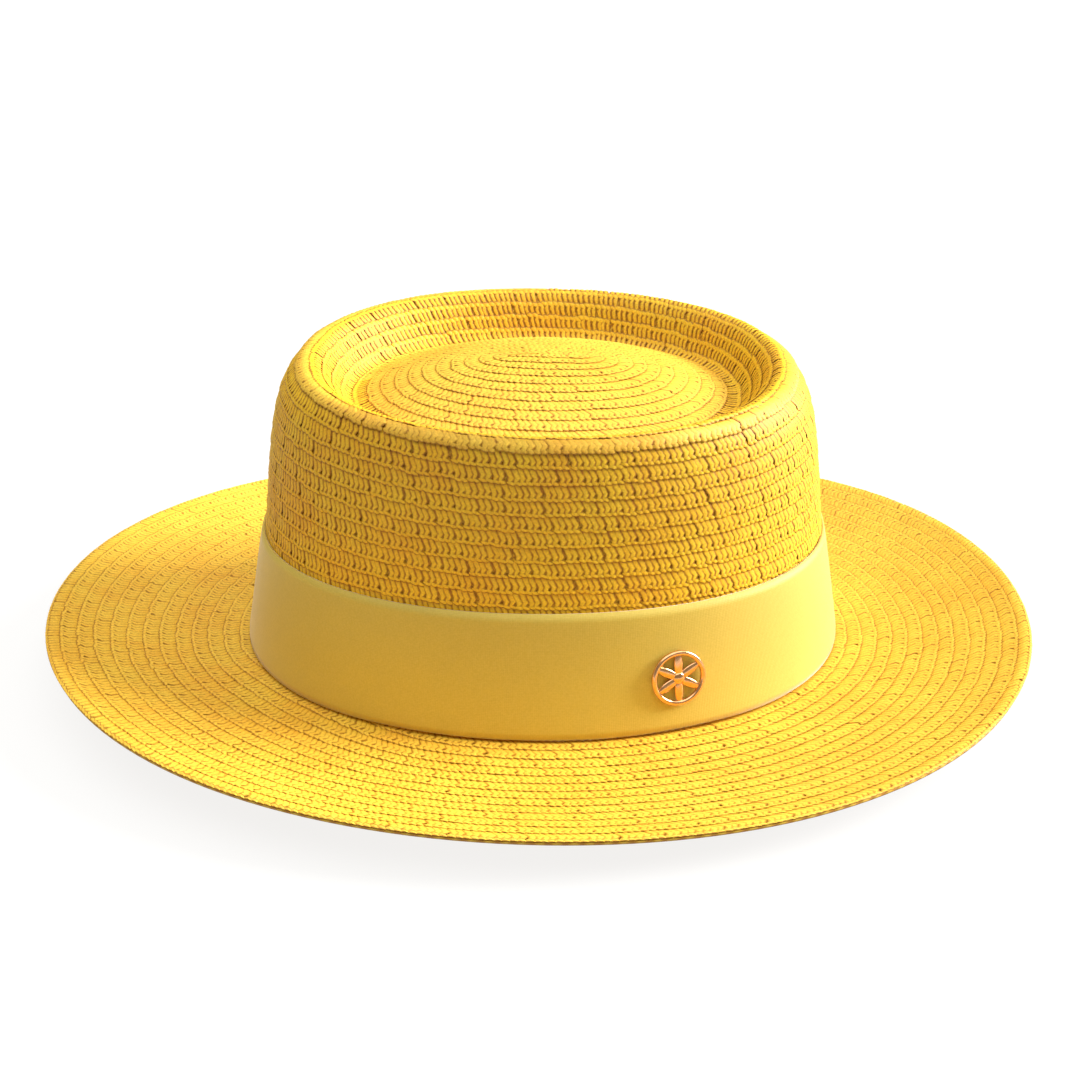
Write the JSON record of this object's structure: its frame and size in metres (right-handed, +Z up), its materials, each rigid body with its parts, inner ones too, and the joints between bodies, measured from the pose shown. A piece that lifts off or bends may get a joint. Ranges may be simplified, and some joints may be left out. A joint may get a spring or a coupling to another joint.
{
  "type": "straw boater hat",
  "caption": "Woven straw boater hat with a dented domed crown, a gently curled wide brim, a ribbon band and a small pierced badge.",
  "frame": {"origin": "centre of the brim's outline, on the surface that the hat rests on", "axes": "+X to the wearer's front, +Y to the wearer's left, +Z up"},
  "size_m": [0.3366, 0.2954, 0.1048],
  "materials": {
    "straw": "woven paper straw braid, matt",
    "ribbon": "fine-ribbed satin ribbon",
    "badge": "polished, rose gold in colour"
  },
  "bodies": {
    "root": {"brim": "straw", "crown": "straw", "ribbon_band": "ribbon", "badge": "badge"}
  },
  "joints": []
}
